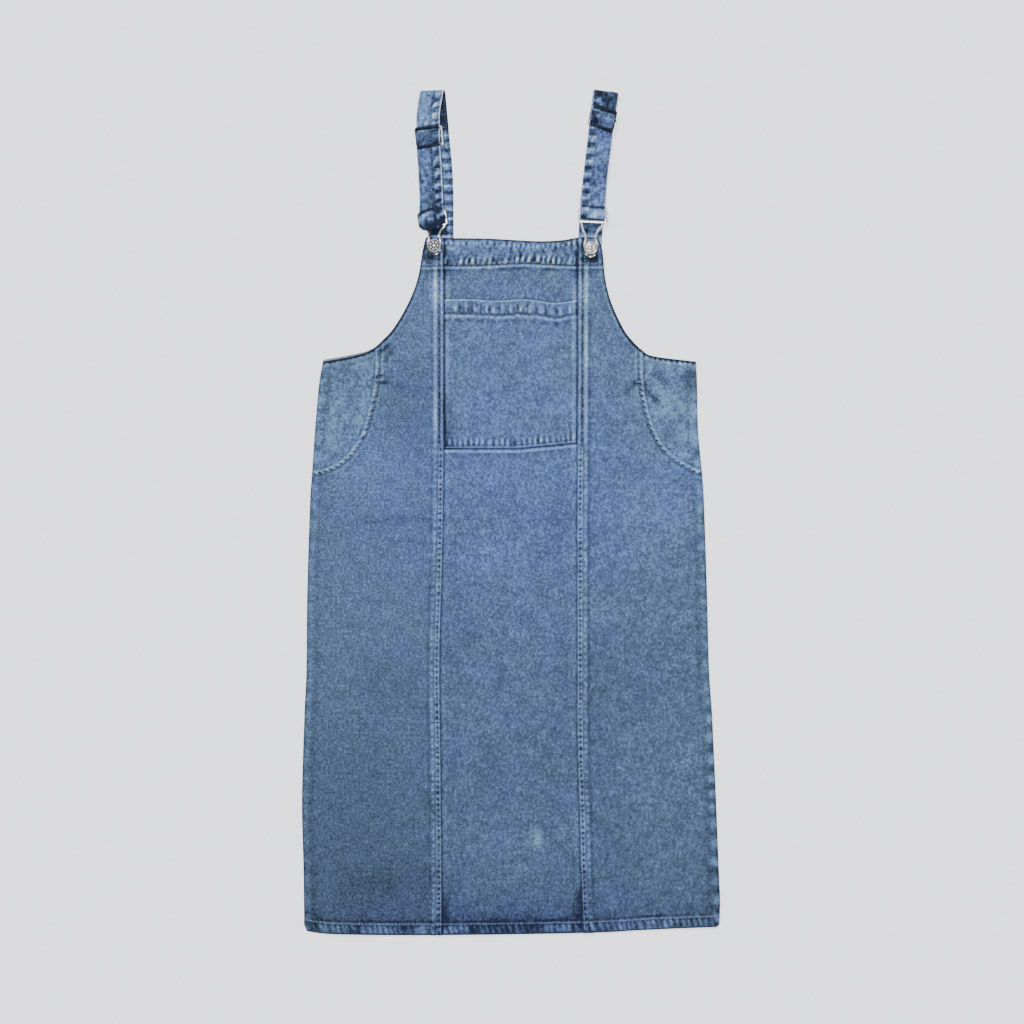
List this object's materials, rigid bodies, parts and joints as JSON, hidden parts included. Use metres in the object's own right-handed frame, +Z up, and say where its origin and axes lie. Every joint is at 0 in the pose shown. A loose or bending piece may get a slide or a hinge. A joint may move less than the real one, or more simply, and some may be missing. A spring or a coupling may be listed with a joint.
{
  "type": "denim pinafore dress",
  "caption": "Sleeveless denim pinafore dress laid flat: bib front with a patch pocket, curved side pockets, shoulder straps with sliders, wire hooks and metal buttons.",
  "frame": {"origin": "middle of the bottom of the bounding box, on the surface that the dress lies on", "axes": "+Y from the hem to the shoulder straps, +Z up out of the surface towards the viewer, +X to the right as one looks at the front"},
  "size_m": [0.5434, 1.0981, 0.0122],
  "materials": {
    "denim": "stone-washed mid-blue twill, tonal thread",
    "denim_facing": "stone-washed mid-blue twill, a little lighter",
    "metal": "polished silver-coloured metal"
  },
  "bodies": {
    "root": {"back_panel": "denim", "front_centre_panel": "denim", "front_side_panel_left": "denim", "front_side_panel_right": "denim", "bib_pocket": "denim", "strap_left": "denim", "strap_right": "denim", "pocket_facing_left": "denim_facing", "pocket_facing_right": "denim_facing", "slider_left": "metal", "slider_right": "metal", "hook_left": "metal", "hook_right": "metal", "button_left": "metal", "button_right": "metal"}
  },
  "joints": []
}
